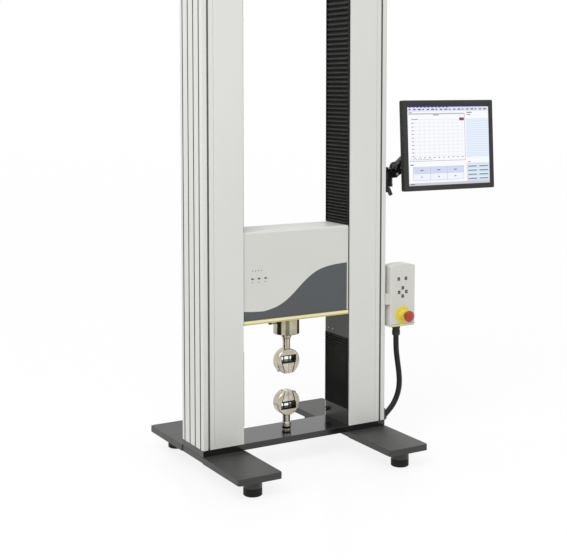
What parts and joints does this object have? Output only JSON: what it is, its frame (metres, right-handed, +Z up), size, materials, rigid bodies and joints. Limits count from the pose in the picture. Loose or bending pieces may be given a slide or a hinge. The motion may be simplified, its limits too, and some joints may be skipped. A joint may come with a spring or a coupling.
{
  "type": "universal testing machine",
  "caption": "Floor-standing testing machine: a screw-driven crosshead rides between columns over a base plate, with a load cell, wedge grips, a hand control and a monitor on an arm.",
  "frame": {"origin": "on the floor, midway between the columns and on their centre plane", "axes": "+X towards the column that carries the handset and the monitor, +Y to the rear, +Z up along the pull axis"},
  "size_m": [1.1179, 0.644, 1.85],
  "materials": {
    "light_paint": "satin, light warm grey",
    "dark_paint": "satin, near black",
    "gloss_black_paint": "gloss black",
    "black_bellows": "matt coated cloth",
    "bright_steel": "fine turned",
    "jaw_steel": "ground",
    "polished_steel": "polished",
    "cast_beam": "machined",
    "motor_aluminium": "anodised",
    "belt_rubber": "matt",
    "pale_plastic": "fine texture",
    "key_plastic": "matt",
    "stop_red": "gloss red",
    "black_cable": "gloss black jacket",
    "monitor_plastic": "matt dark grey",
    "screen_glass": "lit display"
  },
  "bodies": {
    "frame": {"base_plate": "gloss_black_paint", "foot_plates": "dark_paint", "foot_collars": "dark_paint", "column_left": "light_paint", "column_right": "light_paint", "column_covers": "light_paint", "top_plate": "gloss_black_paint", "top_housing": "light_paint", "guide_rails": "bright_steel", "screw_bearings": "bright_steel", "bellows_upper_left": "black_bellows", "bellows_upper_right": "black_bellows", "bellows_lower_left": "black_bellows", "bellows_lower_right": "black_bellows", "bellows_feet": "dark_paint", "drive_motor": "motor_aluminium", "timing_belts": "belt_rubber", "lower_grip_seat": "bright_steel", "lower_grip_body": "bright_steel", "handset_shell": "pale_plastic", "handset_cable": "black_cable", "cable_glands": "black_cable", "arm_bracket": "dark_paint", "power_inlet": "key_plastic"},
    "crosshead": {"crosshead_beam": "cast_beam", "crosshead_front_cover": "light_paint", "crosshead_rear_cover": "light_paint", "crosshead_side_plates": "dark_paint", "ball_nuts": "bright_steel", "guide_carriages": "bright_steel", "load_cell": "polished_steel", "upper_grip_body": "bright_steel"},
    "screw_left": {"ball_screw_left": "bright_steel"},
    "screw_right": {"ball_screw_right": "bright_steel"},
    "drive_pulley": {"motor_pulley": "bright_steel"},
    "upper_jaw_left": {"upper_jaw_left": "jaw_steel"},
    "upper_jaw_right": {"upper_jaw_right": "jaw_steel"},
    "upper_pusher": {"upper_grip_pusher": "jaw_steel"},
    "lower_jaw_left": {"lower_jaw_left": "jaw_steel"},
    "lower_jaw_right": {"lower_jaw_right": "jaw_steel"},
    "lower_pusher": {"lower_grip_pusher": "jaw_steel"},
    "key_up_fast": {"key_up_fast": "key_plastic"},
    "key_down_fast": {"key_down_fast": "key_plastic"},
    "key_raise": {"key_raise": "key_plastic"},
    "key_start": {"key_start": "key_plastic"},
    "key_halt": {"key_halt": "key_plastic"},
    "key_lower": {"key_lower": "key_plastic"},
    "stop_plunger": {"stop_plunger": "bright_steel"},
    "stop_head": {"stop_head": "stop_red"},
    "arm_swivel": {"arm_swivel": "dark_paint"},
    "arm_link": {"arm_link": "dark_paint"},
    "arm_head": {"arm_head": "dark_paint"},
    "monitor_mount": {"monitor_mount": "dark_paint"},
    "monitor": {"monitor_shell": "monitor_plastic", "monitor_screen": "screen_glass"},
    "clamp_lever": {"clamp_lever": "key_plastic"},
    "pad_left_front": {"levelling_pad_left_front": "belt_rubber"},
    "pad_left_rear": {"levelling_pad_left_rear": "belt_rubber"},
    "pad_right_front": {"levelling_pad_right_front": "belt_rubber"},
    "pad_right_rear": {"levelling_pad_right_rear": "belt_rubber"}
  },
  "joints": [
    {"name": "crosshead_travel", "type": "slide", "parent": "frame", "child": "crosshead", "axis": [0, 0, 1], "range_m": [-0.045, 0.77], "deforming": ["bellows_upper_left", "bellows_upper_right", "bellows_lower_left", "bellows_lower_right"]},
    {"name": "screw_turn_left", "type": "hinge", "parent": "frame", "child": "screw_left", "pos_m": [-0.25, 0, 0.9], "axis": [0, 0, 1], "continuous": true},
    {"name": "screw_turn_right", "type": "hinge", "parent": "frame", "child": "screw_right", "pos_m": [0.25, 0, 0.9], "axis": [0, 0, 1], "continuous": true},
    {"name": "drive_pulley_turn", "type": "hinge", "parent": "frame", "child": "drive_pulley", "pos_m": [0, 0, 1.7], "axis": [0, 0, 1], "continuous": true},
    {"name": "upper_jaw_left_slide", "type": "slide", "parent": "crosshead", "child": "upper_jaw_left", "axis": [-0.2924, 0, 0.9563], "range_m": [0, 0.009], "stiffness_N_per_m": 800, "springref_m": -0.012},
    {"name": "upper_jaw_right_slide", "type": "slide", "parent": "crosshead", "child": "upper_jaw_right", "axis": [0.2924, 0, 0.9563], "range_m": [0, 0.009]},
    {"name": "upper_pusher_slide", "type": "slide", "parent": "crosshead", "child": "upper_pusher", "axis": [0, 0, 1], "range_m": [0, 0.0087]},
    {"name": "lower_jaw_left_slide", "type": "slide", "parent": "frame", "child": "lower_jaw_left", "axis": [-0.2924, 0, -0.9563], "range_m": [0, 0.009], "stiffness_N_per_m": 800, "springref_m": -0.012},
    {"name": "lower_jaw_right_slide", "type": "slide", "parent": "frame", "child": "lower_jaw_right", "axis": [0.2924, 0, -0.9563], "range_m": [0, 0.009]},
    {"name": "lower_pusher_slide", "type": "slide", "parent": "frame", "child": "lower_pusher", "axis": [0, 0, -1], "range_m": [0, 0.0087]},
    {"name": "key_up_fast_press", "type": "slide", "parent": "frame", "child": "key_up_fast", "axis": [0, 1, 0], "range_m": [0, 0.0008], "stiffness_N_per_m": 500, "springref_m": -0.001},
    {"name": "key_down_fast_press", "type": "slide", "parent": "frame", "child": "key_down_fast", "axis": [0, 1, 0], "range_m": [0, 0.0008], "stiffness_N_per_m": 500, "springref_m": -0.001},
    {"name": "key_raise_press", "type": "slide", "parent": "frame", "child": "key_raise", "axis": [0, 1, 0], "range_m": [0, 0.0008], "stiffness_N_per_m": 500, "springref_m": -0.001},
    {"name": "key_start_press", "type": "slide", "parent": "frame", "child": "key_start", "axis": [0, 1, 0], "range_m": [0, 0.0008], "stiffness_N_per_m": 500, "springref_m": -0.001},
    {"name": "key_halt_press", "type": "slide", "parent": "frame", "child": "key_halt", "axis": [0, 1, 0], "range_m": [0, 0.0008], "stiffness_N_per_m": 500, "springref_m": -0.001},
    {"name": "key_lower_press", "type": "slide", "parent": "frame", "child": "key_lower", "axis": [0, 1, 0], "range_m": [0, 0.0008], "stiffness_N_per_m": 500, "springref_m": -0.001},
    {"name": "stop_press", "type": "slide", "parent": "frame", "child": "stop_plunger", "axis": [0, 1, 0], "range_m": [0, 0.004]},
    {"name": "stop_twist", "type": "hinge", "parent": "stop_plunger", "child": "stop_head", "pos_m": [0.405, -0.13, 0.4515], "axis": [0, 1, 0], "range_deg": [0, 45], "stiffness_Nm_per_rad": 0.05, "springref_deg": -11.46},
    {"name": "arm_swivel_turn", "type": "hinge", "parent": "frame", "child": "arm_swivel", "pos_m": [0.398, 0, 0.913], "axis": [0, 0, 1], "range_deg": [0, 75]},
    {"name": "arm_lift", "type": "hinge", "parent": "arm_swivel", "child": "arm_link", "pos_m": [0.444, 0, 0.947], "axis": [0, -1, 0], "range_deg": [-45, 12]},
    {"name": "arm_level", "type": "hinge", "parent": "arm_link", "child": "arm_head", "pos_m": [0.535, 0, 1.016], "axis": [0, -1, 0], "range_deg": [-12, 45]},
    {"name": "monitor_pan", "type": "hinge", "parent": "arm_head", "child": "monitor_mount", "pos_m": [0.585, 0, 1.022], "axis": [0, 0, 1], "range_deg": [-5, 35]},
    {"name": "monitor_tilt", "type": "hinge", "parent": "monitor_mount", "child": "monitor", "pos_m": [0.58531, -0.03422, 1.02113], "axis": [0.999, -0.0436, 0], "range_deg": [-10, 12]},
    {"name": "clamp_lever_turn", "type": "hinge", "parent": "frame", "child": "clamp_lever", "pos_m": [0.398, 0, 0.873], "axis": [0, 0, 1], "range_deg": [-60, 60]},
    {"name": "pad_left_front_screw", "type": "slide", "parent": "frame", "child": "pad_left_front", "axis": [0, 0, -1], "range_m": [0, 0.012]},
    {"name": "pad_left_rear_screw", "type": "slide", "parent": "frame", "child": "pad_left_rear", "axis": [0, 0, -1], "range_m": [0, 0.012]},
    {"name": "pad_right_front_screw", "type": "slide", "parent": "frame", "child": "pad_right_front", "axis": [0, 0, -1], "range_m": [0, 0.012]},
    {"name": "pad_right_rear_screw", "type": "slide", "parent": "frame", "child": "pad_right_rear", "axis": [0, 0, -1], "range_m": [0, 0.012]}
  ],
  "couplings": [
    {"joint": "screw_turn_left", "follows": "crosshead_travel", "rad_per_m": 628.32},
    {"joint": "screw_turn_right", "follows": "crosshead_travel", "rad_per_m": 628.32},
    {"joint": "drive_pulley_turn", "follows": "crosshead_travel", "rad_per_m": 1256.6},
    {"joint": "upper_jaw_right_slide", "follows": "upper_jaw_left_slide", "ratio": 1},
    {"joint": "upper_pusher_slide", "follows": "upper_jaw_left_slide", "ratio": 0.9563},
    {"joint": "lower_jaw_right_slide", "follows": "lower_jaw_left_slide", "ratio": 1},
    {"joint": "lower_pusher_slide", "follows": "lower_jaw_left_slide", "ratio": 0.9563},
    {"joint": "arm_level", "follows": "arm_lift", "ratio": -1}
  ]
}
